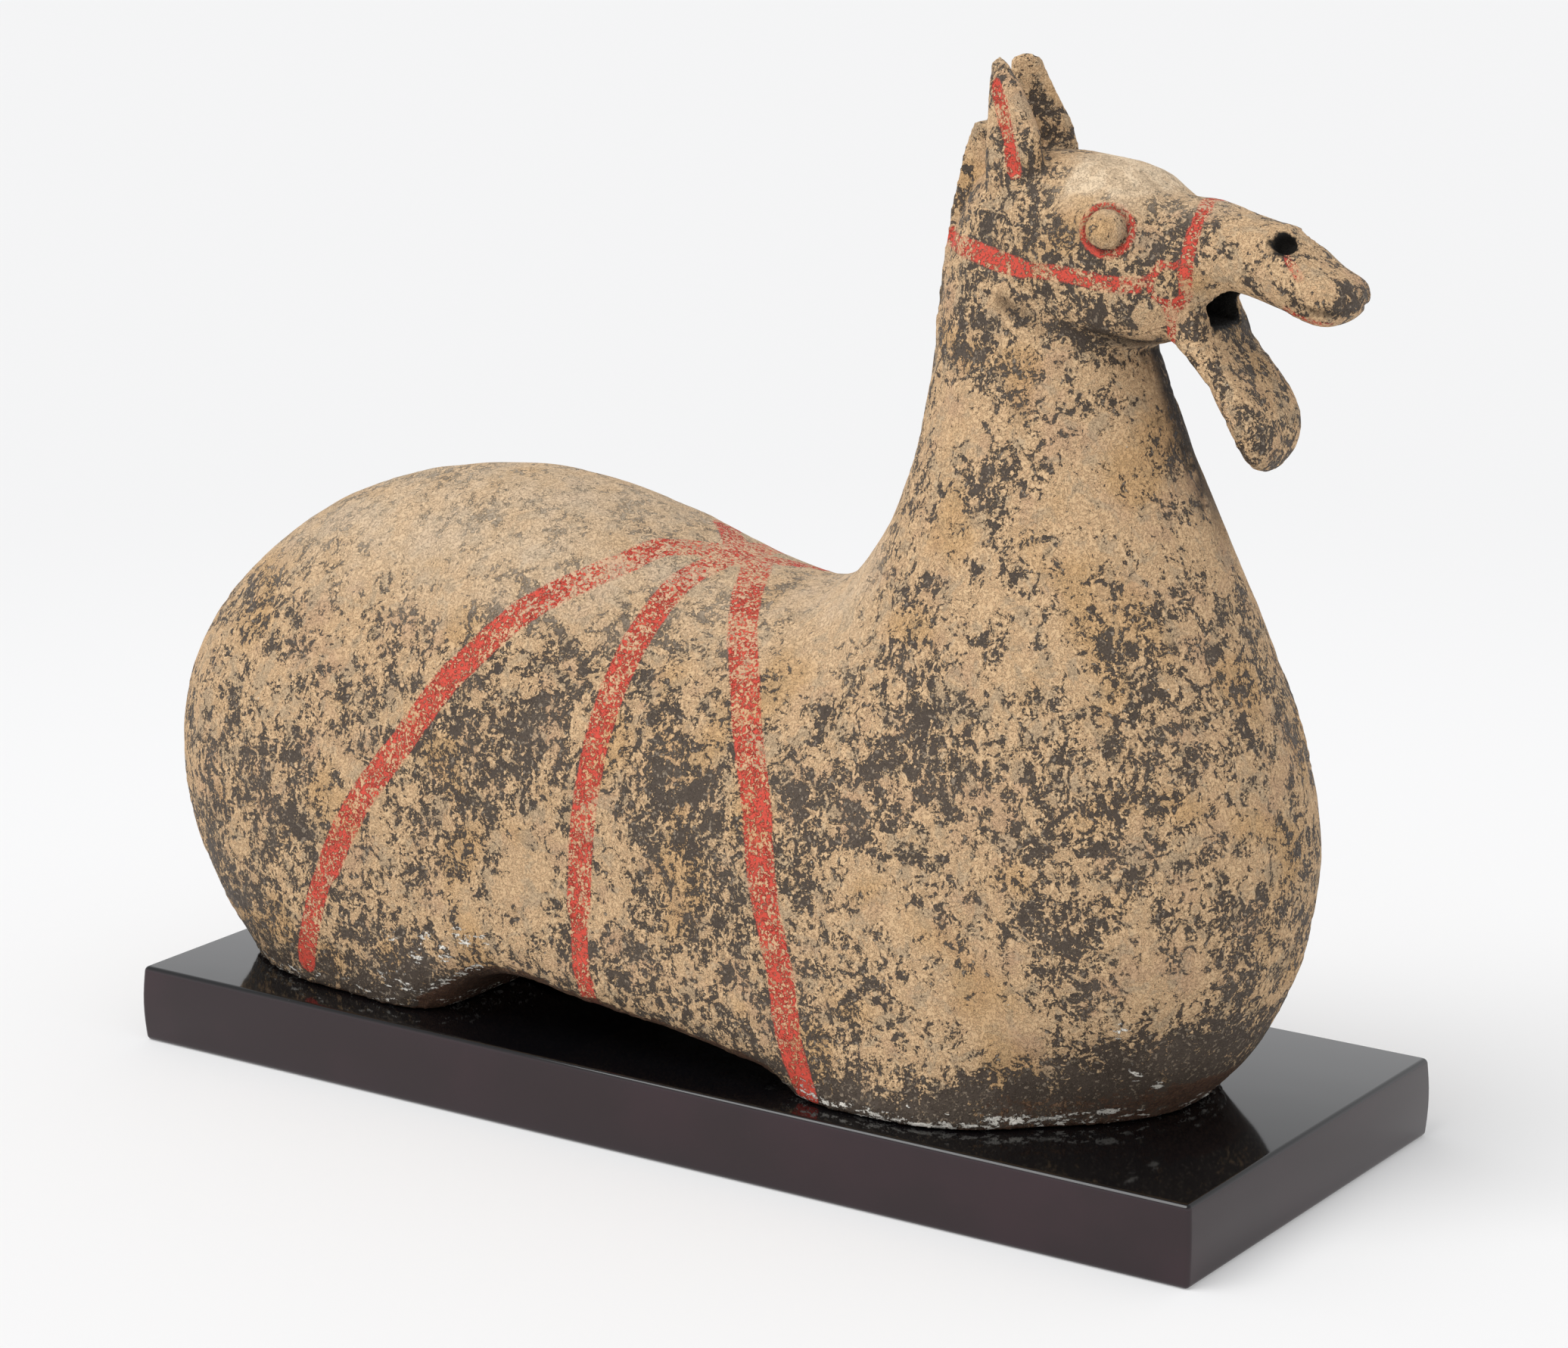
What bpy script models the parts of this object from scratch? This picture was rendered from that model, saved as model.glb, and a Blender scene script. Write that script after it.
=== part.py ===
"""A legless painted pottery horse, whole from rump to muzzle, resting on a black lacquered plinth.

Lengths are in metres. +X is where the horse faces, +Y its left side, +Z up, and the origin is
the centre of the plinth's underside.
"""
import math

import bmesh
import bpy
from mathutils import Matrix, Vector

# Plinth
PLINTH_LENGTH = 0.680
PLINTH_WIDTH = 0.266
PLINTH_HEIGHT = 0.044
PLINTH_EDGE = 0.0028
PLINTH_EDGE_STEPS = 3

# Horse
HORSE_LENGTH = 0.732
SEAT_GAP = 0.0003
HORSE_ALONG_PLINTH = 0.0

# The horse's form is drawn in 732nds of its length, which are millimetres at this size.
SHARE = HORSE_LENGTH / 732.0
MERGE = 0.0001
MEETING = 0.000001
BODY_SEGMENTS = 48
HEAD_SEGMENTS = 36
JAW_SEGMENTS = 24
EAR_SEGMENTS = 16
NOSTRIL_SEGMENTS = 12
ARCH_SEGMENTS = 24
EYE_RING_SEGMENTS = 28
RING_SECTION_SEGMENTS = 8
BALL_SUBDIVISIONS = 3
STEPS_BETWEEN_STATIONS = 2
SHARP_DEGREES = 40

# Stations of a loft: top x, top z, bottom x, bottom z, half width, place of the widest line from
# the top (0 to 1), fullness of the upper half and of the lower half (2 is an ellipse).
BODY = [
    (-380, 118, -380, 118, 0, 0.50, 2.0, 2.0),
    (-376, 151, -374, 84, 35, 0.50, 2.0, 2.0),
    (-360, 189, -359, 45, 69, 0.50, 2.0, 2.1),
    (-326, 229, -331, 6, 96, 0.51, 2.0, 2.3),
    (-281, 260, -290, -32, 111, 0.52, 2.0, 2.6),
    (-227, 280, -242, -54, 119, 0.53, 2.0, 2.8),
    (-170, 288, -190, -60, 121, 0.54, 2.0, 2.9),
    (-140, 288, -161, -14, 120, 0.54, 2.0, 6.0),
    (-128, 286, -142, 4, 119, 0.54, 2.0, 9.0),
    (-112, 284, -122, 21, 118.5, 0.54, 2.0, 10.0),
    (-96, 281, -102, 27, 118, 0.54, 2.0, 10.0),
    (-50, 268, -54, 21, 117, 0.54, 2.0, 10.0),
    (-8, 255, 2, 16, 117, 0.53, 2.0, 10.0),
    (20, 250, 44, 10, 118, 0.53, 2.0, 10.0),
    (36, 249.5, 78, 2, 119, 0.53, 2.0, 8.0),
    (46, 251, 106, -24, 120, 0.53, 2.0, 5.5),
    (57, 255, 150, -60, 120, 0.53, 2.0, 4.2),
    (69, 261, 196, -60, 119, 0.52, 2.0, 3.8),
    (83, 277, 240, -26, 114, 0.52, 2.0, 2.4),
    (91, 290, 293, 23, 110, 0.52, 2.0, 2.2),
    (98, 303, 318, 75, 106, 0.52, 2.0, 2.2),
    (105, 323, 324, 150, 95, 0.52, 2.0, 2.1),
    (110, 346, 303, 222, 79, 0.52, 2.0, 2.0),
    (113, 370, 278, 282, 64, 0.52, 2.0, 2.0),
    (116, 396, 254.5, 335, 52, 0.52, 2.0, 2.0),
    (119, 422, 236, 384, 44, 0.52, 2.0, 2.0),
    (126, 450, 216, 424, 37, 0.52, 2.0, 2.0),
    (138, 473, 198, 456, 30, 0.52, 2.0, 2.0),
    (165, 473, 165, 473, 0, 0.50, 2.0, 2.0),
]
HEAD = [
    (134, 452, 134, 452, 0, 0.50, 2.0, 2.0),
    (144, 479, 148, 416, 26, 0.50, 2.0, 2.4),
    (178, 488, 182, 398, 41, 0.48, 2.1, 2.8),
    (208, 486, 214, 391, 44, 0.48, 2.2, 3.0),
    (232, 481, 242, 395, 42, 0.50, 2.3, 3.0),
    (250, 469.5, 260, 402, 36, 0.50, 2.2, 2.7),
    (267, 469, 273, 415.5, 30, 0.52, 2.2, 2.5),
    (284, 464.2, 287, 425, 26, 0.52, 2.3, 2.4),
    (300, 460.9, 303, 421.3, 24, 0.52, 2.3, 2.4),
    (313, 458.2, 317, 417, 24, 0.50, 2.3, 2.5),
    (323, 450.2, 327, 413.5, 24, 0.50, 2.3, 2.5),
    (333, 442, 337, 412.5, 23, 0.50, 2.3, 2.5),
    (345, 436.5, 346, 417, 19, 0.50, 2.3, 2.4),
    (352, 427, 352, 427, 0, 0.50, 2.0, 2.0),
]
LOWER_JAW = [
    (260, 432, 238, 414, 14, 0.50, 2.6, 2.6),
    (274, 418, 248, 403.5, 27, 0.50, 4.0, 2.6),
    (280, 401, 262, 395, 28, 0.48, 4.5, 2.6),
    (291, 389, 274, 383, 28, 0.48, 4.5, 2.6),
    (301.5, 377.5, 282, 371, 28, 0.48, 4.0, 2.6),
    (310, 363, 289, 359, 28, 0.48, 3.2, 2.6),
    (311, 347, 294, 345, 22, 0.48, 2.6, 2.4),
    (302, 335, 302, 335, 0, 0.50, 2.0, 2.0),
]

# Ear rings, from the root up: centre x, distance from the middle, centre z, half length, half
# thickness, degrees that the front edge is turned outwards. The two were shaped by hand and differ.
RIGHT_EAR = [
    (166.5, 23, 468, 15.5, 9, 8),
    (168.3, 24, 484, 17.8, 9, 10),
    (166.6, 23, 498, 17.5, 8.5, 14),
    (162.4, 20, 511, 14, 7, 19),
    (157.8, 17, 522, 10.5, 5.5, 24),
    (154.3, 15, 530, 6, 3.6, 26),
    (153, 14, 534.5, 0, 0, 26),
]
LEFT_EAR = [
    (159, 23, 468, 15, 9, 8),
    (159.5, 24, 484, 16.5, 9, 10),
    (157.5, 23, 498, 14.5, 8.5, 14),
    (154, 20, 511, 12, 7, 19),
    (151.5, 17, 522, 9.8, 5.5, 24),
    (151.5, 15, 530, 7.5, 4, 26),
    (152.5, 14, 534, 0, 0, 26),
]

# Outline of the crest of hair, from its top behind the ears down the neck and back up inside it.
MANE = [(149, 498), (134, 499), (128, 484), (121, 456), (116.5, 430), (112.5, 404), (111, 378),
        (108.5, 345), (116, 330), (130, 350), (144, 400), (156, 440), (156, 470)]

# The carving of the head, in the same measure as its form.
MANE_THICKNESS = 14
EYE_PLACE = (229, 40, 456)
EYE_OUTWARD = (0.14, 1.0, 0.22)
EYE_RADIUS = 9.8
EYE_STAND = 0.55
EYE_RING_RADIUS = 12.2
EYE_RING_WIDTH = 3.0
EAR_GROOVE_PLACE = (164, 32, 498)
LEFT_EAR_GROOVE_SET_BACK = 6
EAR_GROOVE_SIZE = (4.0, 3.2, 24.0)
EAR_GROOVE_LEAN_DEGREES = 12
EYE_RING_PROUD = 0.6
NOSTRIL_PLACE = (316.5, 15.5, 454)
NOSTRIL_INWARD = (-0.35, -0.85, -0.45)
NOSTRIL_BORE = 10.5
NOSTRIL_DEPTH = 11
MOUTH_WIDTH = 28

# Outline of the mouth's hollow, from its inner end along under the palate and back over the jaw.
MOUTH = [(246, 423), (256, 430), (284, 430), (300, 422), (330, 416), (330, 390), (281, 407), (246, 413)]

# Arch between the haunches, on the underside.
HAUNCH_ARCH_ENDS = (-420, -130)
HAUNCH_ARCH_RADIUS = 30
HAUNCH_ARCH_SINK = 14

SOIL_TAN = (0.47, 0.34, 0.21, 1.0)
SOIL_ROUGHNESS = 0.9
LACQUER_BLACK = (0.012, 0.010, 0.011, 1.0)
LACQUER_ROUGHNESS = 0.06


def clear_scene():
    for item in list(bpy.data.objects):
        bpy.data.objects.remove(item, do_unlink=True)


def collection(name):
    made = bpy.data.collections.new(name)
    bpy.context.scene.collection.children.link(made)
    return made


def material(name, colour, roughness):
    made = bpy.data.materials.new(name)
    made.use_nodes = True
    shader = made.node_tree.nodes["Principled BSDF"]
    shader.inputs["Base Color"].default_value = colour
    shader.inputs["Roughness"].default_value = roughness
    shader.inputs["Metallic"].default_value = 0.0
    return made


def mirrored(direction, side):
    """A direction given for the left side, turned to the side asked for."""
    x, y, z = direction
    return Vector((x, y * side, z)).normalized()


def place(x, y, z):
    """A point of the horse's drawing, in metres: z is counted from the plinth's top."""
    return Vector((
        HORSE_ALONG_PLINTH + x * SHARE,
        y * SHARE,
        PLINTH_HEIGHT + SEAT_GAP + z * SHARE,
    ))


def through(values, knots, t):
    """A smooth curve's value at t, which lies between the second and the third of four knots."""
    slopes = [
        (after - value) / (end - start)
        for value, after, start, end in zip(values, values[1:], knots, knots[1:])
    ]
    spans = [end - start for start, end in zip(knots, knots[1:])]
    leave, arrive = (
        (slopes[i] * spans[i + 1] + slopes[i + 1] * spans[i]) / (spans[i] + spans[i + 1])
        for i in (0, 1)
    )
    span = spans[1]
    u = (t - knots[1]) / span
    return (
        values[1] * (1 - u) ** 2 * (1 + 2 * u)
        + values[2] * u ** 2 * (3 - 2 * u)
        + span * leave * u * (1 - u) ** 2
        - span * arrive * u ** 2 * (1 - u)
    )


def spacing(station, following):
    """How far apart two stations are, for the curves that run through them."""
    gaps = [after - value for value, after in zip(station[:5], following[:5])]
    return max(math.sqrt(sum(gap * gap for gap in gaps)), 1.0)


def beyond(station):
    """The station past a pointed end: turned over, so that the end comes out round."""
    top_x, top_z, bottom_x, bottom_z, half_width, widest, upper, lower = station
    return (bottom_x, bottom_z, top_x, top_z, -half_width, widest, upper, lower)


def in_between(stations, steps):
    """The stations with steps - 1 smooth ones added in each space."""
    first = beyond(stations[1]) if stations[0][4] == 0 else stations[0]
    last = beyond(stations[-2]) if stations[-1][4] == 0 else stations[-1]
    padded = [first, *stations, last]
    knots = [0.0]
    for station, following in zip(padded, padded[1:]):
        knots.append(knots[-1] + spacing(station, following))
    made = []
    for index in range(1, len(padded) - 2):
        group = padded[index - 1:index + 3]
        marks = knots[index - 1:index + 3]
        for step in range(steps):
            t = marks[1] + (marks[2] - marks[1]) * step / steps
            made.append(tuple(through(values, marks, t) for values in zip(*group)))
    made.append(stations[-1])
    return made


def section(station, around):
    """One closed ring of a loft, standing across the line from its top to its bottom."""
    top_x, top_z, bottom_x, bottom_z, half_width, widest, upper, lower = station
    points = []
    for index in range(around):
        turn = math.tau * index / around
        up, side = math.cos(turn), math.sin(turn)
        power = 2.0 / (upper if up >= 0 else lower)
        reach = abs(up) ** power
        share = widest * (1 - reach) if up >= 0 else widest + (1 - widest) * reach
        x = top_x + (bottom_x - top_x) * share
        z = top_z + (bottom_z - top_z) * share
        y = math.copysign(abs(side) ** power, side) * half_width
        points.append(place(x, y, z))
    return points


def loft(rings):
    """A closed mesh through rings of points; a ring whose points all meet becomes a tip."""
    mesh = bmesh.new()
    rows = []
    for ring in rings:
        pointed = max((point - ring[0]).length for point in ring) < MEETING
        rows.append([mesh.verts.new(point) for point in (ring[:1] if pointed else ring)])
    for row, following in zip(rows, rows[1:]):
        count = max(len(row), len(following))
        for index in range(count):
            after = (index + 1) % count
            corners = [row[index % len(row)], row[after % len(row)],
                       following[after % len(following)], following[index % len(following)]]
            mesh.faces.new(list(dict.fromkeys(corners)))
    for row in (rows[0], rows[-1]):
        if len(row) > 1:
            mesh.faces.new(row)
    bmesh.ops.recalc_face_normals(mesh, faces=mesh.faces)
    return mesh


def solid(name, mesh, home):
    data = bpy.data.meshes.new(name)
    mesh.to_mesh(data)
    mesh.free()
    made = bpy.data.objects.new(name, data)
    home.objects.link(made)
    return made


def lofted(name, stations, around, home):
    rings = [section(station, around) for station in in_between(stations, STEPS_BETWEEN_STATIONS)]
    return solid(name, loft(rings), home)


def ear(side, home):
    """One pricked leaf-shaped ear; side is 1 on the horse's left and -1 on its right."""
    rings = []
    for x, apart, z, half_length, half_thickness, outwards in LEFT_EAR if side > 0 else RIGHT_EAR:
        turn = math.radians(outwards) * side
        ring = []
        for index in range(EAR_SEGMENTS):
            angle = math.tau * index / EAR_SEGMENTS
            along = math.cos(angle) * half_length
            across = math.sin(angle) * half_thickness
            ring.append(place(
                x + along * math.cos(turn) - across * math.sin(turn),
                side * apart + along * math.sin(turn) + across * math.cos(turn),
                z,
            ))
        rings.append(ring)
    return solid("ear", loft(rings), home)


def plate(name, outline, thickness, home):
    """A flat form standing along the horse: an outline in x and z with a thickness across."""
    mesh = bmesh.new()
    face = mesh.faces.new([mesh.verts.new(place(x, 0, z)) for x, z in outline])
    mesh.normal_update()
    bmesh.ops.translate(mesh, verts=mesh.verts, vec=(0, -thickness * SHARE / 2, 0))
    grown = bmesh.ops.extrude_face_region(mesh, geom=[face])
    moved = [item for item in grown["geom"] if isinstance(item, bmesh.types.BMVert)]
    bmesh.ops.translate(mesh, verts=moved, vec=(0, thickness * SHARE, 0))
    bmesh.ops.recalc_face_normals(mesh, faces=mesh.faces)
    return solid(name, mesh, home)


def ball(name, centre, radii, home, turned=Matrix()):
    mesh = bmesh.new()
    bmesh.ops.create_icosphere(mesh, subdivisions=BALL_SUBDIVISIONS, radius=1.0)
    bmesh.ops.scale(mesh, verts=mesh.verts, vec=[radius * SHARE for radius in radii])
    bmesh.ops.transform(mesh, verts=mesh.verts, matrix=Matrix.Translation(centre) @ turned)
    return solid(name, mesh, home)


def hoop(name, centre, outward, radius, thickness, home):
    """A ring of round section that lies across the outward direction."""
    bpy.ops.mesh.primitive_torus_add(
        major_segments=EYE_RING_SEGMENTS, minor_segments=RING_SECTION_SEGMENTS,
        major_radius=radius * SHARE, minor_radius=thickness * SHARE / 2,
    )
    made = bpy.context.active_object
    made.name = name
    turned = outward.to_track_quat("Z", "Y").to_matrix().to_4x4()
    made.data.transform(Matrix.Translation(centre) @ turned)
    for linked in list(made.users_collection):
        linked.objects.unlink(made)
    home.objects.link(made)
    return made


def rod(name, start, end, radius, sides, home):
    """A round bar between two points, its radius in the drawing's measure."""
    line = end - start
    mesh = bmesh.new()
    bmesh.ops.create_cone(
        mesh, cap_ends=True, segments=sides,
        radius1=radius * SHARE, radius2=radius * SHARE, depth=line.length,
    )
    turned = line.to_track_quat("Z", "Y").to_matrix().to_4x4()
    bmesh.ops.transform(mesh, verts=mesh.verts, matrix=Matrix.Translation((start + end) / 2) @ turned)
    return solid(name, mesh, home)


def combine(target, other, operation):
    """Joins other to target or cuts it away, and leaves other out of the model."""
    change = target.modifiers.new(operation.lower(), "BOOLEAN")
    change.operation = operation
    change.solver = "EXACT"
    change.object = other
    other.hide_render = True
    other.display_type = "WIRE"


def baked(name, source, home):
    """A plain mesh object with the source's modifiers worked in and slivers taken out."""
    evaluated = source.evaluated_get(bpy.context.evaluated_depsgraph_get())
    mesh = bmesh.new()
    mesh.from_mesh(evaluated.to_mesh())
    evaluated.to_mesh_clear()
    bmesh.ops.remove_doubles(mesh, verts=mesh.verts, dist=MERGE)
    bmesh.ops.dissolve_degenerate(mesh, edges=mesh.edges, dist=MERGE)
    bmesh.ops.triangulate(mesh, faces=mesh.faces)
    return solid(name, mesh, home)


def underside_cutters(home):
    """What is cut from below: the seat's plane and the arch between the haunches."""
    far = HORSE_LENGTH / SHARE
    seat = plate("cut_seat", [(-far, 0), (far, 0), (far, -far), (-far, -far)], far, home)
    rear, front = HAUNCH_ARCH_ENDS
    arch = rod(
        "cut_haunches", place(rear, 0, -HAUNCH_ARCH_SINK), place(front, 0, -HAUNCH_ARCH_SINK),
        HAUNCH_ARCH_RADIUS, ARCH_SEGMENTS, home,
    )
    return [seat, arch]


def head_cutters(home):
    """The open mouth behind the lips, and on each side a nostril, an eye ring and an ear groove."""
    cutters = [plate("cut_mouth", MOUTH, MOUTH_WIDTH, home)]
    for side in (-1, 1):
        x, apart, z = NOSTRIL_PLACE
        rim = place(x, side * apart, z)
        inward = mirrored(NOSTRIL_INWARD, side) * (NOSTRIL_DEPTH * SHARE)
        cutters.append(rod(
            "cut_nostril", rim - inward, rim + inward, NOSTRIL_BORE / 2, NOSTRIL_SEGMENTS, home,
        ))
        x, apart, z = EYE_PLACE
        cutters.append(hoop(
            "cut_eye_ring", place(x, side * (apart + EYE_RING_PROUD), z), mirrored(EYE_OUTWARD, side),
            EYE_RING_RADIUS, EYE_RING_WIDTH, home,
        ))
        x, apart, z = EAR_GROOVE_PLACE
        set_back = LEFT_EAR_GROOVE_SET_BACK if side > 0 else 0
        cutters.append(ball(
            "cut_ear", place(x - set_back, side * apart, z), EAR_GROOVE_SIZE, home,
            Matrix.Rotation(math.radians(side * EAR_GROOVE_LEAN_DEGREES), 4, "X"),
        ))
    return cutters


def horse(home, helpers):
    """The whole horse, one fired clay body."""
    body = lofted("body", BODY, BODY_SEGMENTS, helpers)
    additions = [
        lofted("head", HEAD, HEAD_SEGMENTS, helpers),
        lofted("lower_jaw", LOWER_JAW, JAW_SEGMENTS, helpers),
        plate("mane", MANE, MANE_THICKNESS, helpers),
    ]
    for side in (-1, 1):
        additions.append(ear(side, helpers))
    eyes = []
    for side in (-1, 1):
        x, apart, z = EYE_PLACE
        facing = mirrored(EYE_OUTWARD, side).to_track_quat("Z", "Y").to_matrix().to_4x4()
        eyes.append(ball(
            "eye", place(x, side * apart, z),
            (EYE_RADIUS, EYE_RADIUS, EYE_RADIUS * EYE_STAND), helpers, facing,
        ))
    for other in additions:
        combine(body, other, "UNION")
    for other in underside_cutters(helpers) + head_cutters(helpers):
        combine(body, other, "DIFFERENCE")
    for other in eyes:
        combine(body, other, "UNION")
    made = baked("horse", body, home)
    body.hide_render = True
    body.display_type = "WIRE"
    made.data.materials.clear()
    made.data.materials.append(material("soiled_grey_pottery", SOIL_TAN, SOIL_ROUGHNESS))
    made.data.shade_smooth()
    made.data.set_sharp_from_angle(angle=math.radians(SHARP_DEGREES))
    return made


def plinth(home):
    """The lacquered board, its edges just broken."""
    bpy.ops.mesh.primitive_cube_add(size=1.0, location=(0, 0, 0))
    made = bpy.context.active_object
    made.name = "plinth"
    for linked in list(made.users_collection):
        linked.objects.unlink(made)
    home.objects.link(made)
    size = Matrix.Diagonal((PLINTH_LENGTH, PLINTH_WIDTH, PLINTH_HEIGHT, 1.0))
    made.data.transform(Matrix.Translation((0, 0, PLINTH_HEIGHT / 2)) @ size)
    edge = made.modifiers.new("broken_edges", "BEVEL")
    edge.width = PLINTH_EDGE
    edge.segments = PLINTH_EDGE_STEPS
    made.data.materials.append(material("black_lacquer", LACQUER_BLACK, LACQUER_ROUGHNESS))
    return made


def main():
    clear_scene()
    parts = collection("pottery_horse")
    helpers = collection("cutters")
    horse(parts, helpers)
    plinth(parts)


main()
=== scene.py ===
"""A painted pottery horse on a black lacquered board: its surfaces, finishes, light and camera."""

import math

import bmesh
import bpy
import numpy as np
from bpy.props import FloatProperty, FloatVectorProperty, IntProperty, PointerProperty
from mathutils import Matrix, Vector, kdtree, noise


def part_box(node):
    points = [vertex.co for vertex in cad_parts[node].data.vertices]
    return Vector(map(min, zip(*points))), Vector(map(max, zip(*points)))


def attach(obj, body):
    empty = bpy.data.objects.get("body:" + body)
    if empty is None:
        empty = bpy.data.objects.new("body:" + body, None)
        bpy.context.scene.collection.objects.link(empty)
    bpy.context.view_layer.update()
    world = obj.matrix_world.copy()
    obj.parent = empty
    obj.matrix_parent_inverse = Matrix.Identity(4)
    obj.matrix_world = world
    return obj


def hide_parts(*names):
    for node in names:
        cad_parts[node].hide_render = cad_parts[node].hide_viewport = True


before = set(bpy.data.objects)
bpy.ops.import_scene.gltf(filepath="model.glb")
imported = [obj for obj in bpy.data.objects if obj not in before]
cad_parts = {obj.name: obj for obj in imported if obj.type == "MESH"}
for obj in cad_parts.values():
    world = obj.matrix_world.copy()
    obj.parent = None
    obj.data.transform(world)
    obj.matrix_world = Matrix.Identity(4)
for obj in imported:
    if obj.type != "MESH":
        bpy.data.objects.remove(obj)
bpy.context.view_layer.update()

bl_info = {
    "name": "Painted Pottery Horse",
    "version": (1, 0, 0),
    "blender": (4, 5, 0),
    "location": "View3D > Sidebar > Pottery Horse",
    "description": "Makes a soiled, painted pottery horse on a lacquered board",
    "category": "Add Mesh",
}

MM = 0.001

# The red lines: half width, then points on the near side, in millimetres.
HARNESS_LINES = [
    (8.1, [(-16, 0, 301), (-46, -31, 306), (-55, -52, 300), (-71, -71, 291), (-87, -85, 281),
           (-100, -95, 270), (-115, -104, 253), (-130, -109, 238), (-146, -115, 216),
           (-163, -118, 193), (-182, -120, 169), (-197, -121, 145), (-209, -120, 122)]),
    (6.6, [(-209, -120, 122), (-217, -119, 109), (-227, -116, 85), (-238, -109, 58)]),
    (7.8, [(-12, 0, 300), (-21, -44, 294), (-23, -59, 286), (-26, -82, 267), (-28, -97, 248),
           (-30, -106, 231), (-34, -116, 195), (-38, -117, 160), (-40, -117, 126)]),
    (5.8, [(-40, -117, 126), (-40, -116, 92), (-38, -114, 82), (-39, -108, 71)]),
    (8.4, [(-6, 0, 299), (2, -10, 296), (16, -40, 287), (30, -64, 273), (44, -83, 257),
           (61, -103, 223), (72, -113, 197), (78, -119, 167), (84, -120, 140), (91, -120, 113),
           (95, -119, 80), (100, -117, 60), (103, -115, 48)]),
]
BRIDLE_LINES = [
    (5.4, [(121, -5, 484), (144, -30, 483), (153, -34, 482), (168, -37, 479), (183, -41, 477)]),
    (4.2, [(183, -41, 477), (204, -43, 477), (217, -44, 476), (230, -43, 474), (247, -39, 474)]),
    (3.6, [(266, 0, 514), (271, -15, 509), (271, -27, 498), (270, -30, 480), (269, -28, 469),
           (266, -28, 465), (262, -31, 463)]),
    (2.8, [(262, -31, 463), (261, -27, 456), (261, -26, 446)]),
    (2.2, [(247, -39, 476), (254, -36, 477), (258, -34, 485)]),
    (4.4, [(155, -22, 564), (162, -27, 555), (168, -32, 541), (171, -33, 534), (173, -33, 524)]),
    (2.4, [(319, -19, 491), (323, -20, 487), (327, -21, 482)]),
    (3.0, [(319, -20, 465), (326, -21, 462), (334, -19, 460), (341, -13, 458)]),
]
# Red rings: centre, mean radius, half width.
PAINTED_RINGS = [((262, -33, 475), 9.2, 1.8), ((232, -43, 501), 12.9, 2.2)]
# Where the soil lies thicker or thinner (negative): centre, reach, strength in hundredths.
SOIL_PLACES = [
    (-270, -113, 169, 42, -9), (-227, -119, 142, 38, -9), (-111, -118, 195, 52, -9),
    (-73, -113, 220, 28, -9), (-166, -118, 74, 42, -9), (14, -112, 208, 42, -9), (42, -118, 173, 38, -9),
    (126, -110, 201, 52, -9), (148, -102, 242, 33, -9), (199, -105, 243, 28, -9),
    (182, -112, 151, 28, -9), (256, -97, 152, 24, -9), (263, -95, 188, 28, -9), (314, -37, 131, 38, -9),
    (270, -64, 78, 52, -9), (188, -41, 498, 28, -9), (161, -47, 428, 28, -9), (218, -40, 455, 28, -9),
    (267, -28, 451, 19, -9), (307, -23, 409, 19, -9), (177, -65, 371, 28, -9), (-77, -117, 124, 33, 9),
    (-72, -117, 150, 24, 9), (-226, -97, 250, 42, 9), (-179, -81, 283, 38, 9), (-256, -108, 209, 28, 9),
    (-60, -62, 294, 28, 9), (79, -60, 283, 56, 9), (73, -93, 237, 28, 9), (214, -95, 281, 42, 9),
    (156, -114, 167, 33, 9), (217, -104, 119, 33, 9), (219, -100, 99, 28, 9), (186, -112, 128, 33, 9),
    (282, -82, 149, 28, 9), (273, -90, 177, 24, 9), (295, -66, 127, 24, 9), (270, -81, 111, 28, 9),
    (316, -29, 212, 28, 9), (236, -18, 416, 33, 9), (232, -39, 388, 38, 9), (225, -18, 525, 33, 9),
    (294, -19, 500, 28, 9), (335, -17, 481, 24, 9), (135, -7, 528, 19, 9), (146, -50, 396, 24, 9),
    (269, 4, 347, 28, 9), (165, 20, 562, 24, 9), (182, -8, 545, 20, 9), (166, -64, 340, 50, 9),
    (252, -48, 330, 45, 9), (234, -42, 372, 40, 7), (160, -55, 392, 36, 5), (-60, -117, 160, 60, 4),
    (155, -22, 567, 12, -12), (-300, -95, 110, 60, -5), (158, 14, 556, 10, -14), (-150, -116, 82, 22, -8),
    (212, -100, 70, 26, -8),
]
# White lime flakes: centre, reach.
LIME_PLACES = [
    (-165, -119, 88, 6), (-152, -118, 80, 9), (-144, -119, 92, 6), (-122, -118, 100, 6), (-118, -117, 93, 8),
    (-130, -117, 84, 8), (-164, -115, 61, 11), (-180, -115, 62, 8), (-103, -117, 98, 6), (104, -115, 54, 8),
    (275, -51, 69, 7), (270, -64, 78, 8), (269, -80, 104, 7), (-60, -112, 72, 6),
]
# Broken edges with lime along them: the front of the rear stump, the rim under the chest.
STUMP_EDGE = [(-152, -113, 56), (-137, -112, 64), (-124, -111, 72), (-112, -112, 78)]
CHEST_EDGE = [
    (103, -114, 49), (121, -116, 47), (166, -115, 46), (202, -100, 49), (232, -75, 50), (257, -56, 54),
]
MOUTH_OUTLINE = [
    (244, 466), (256, 475), (284, 475), (300, 467), (332, 461), (332, 433), (281, 450), (244, 456),
]
NOSTRIL_LINE = [(315.5, -15.5, 496.5), (309, -5, 492)]
EYE_PLACE = (231, -43, 501)
EYE_OUTWARD = (0.135, -0.967, 0.213)
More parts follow.
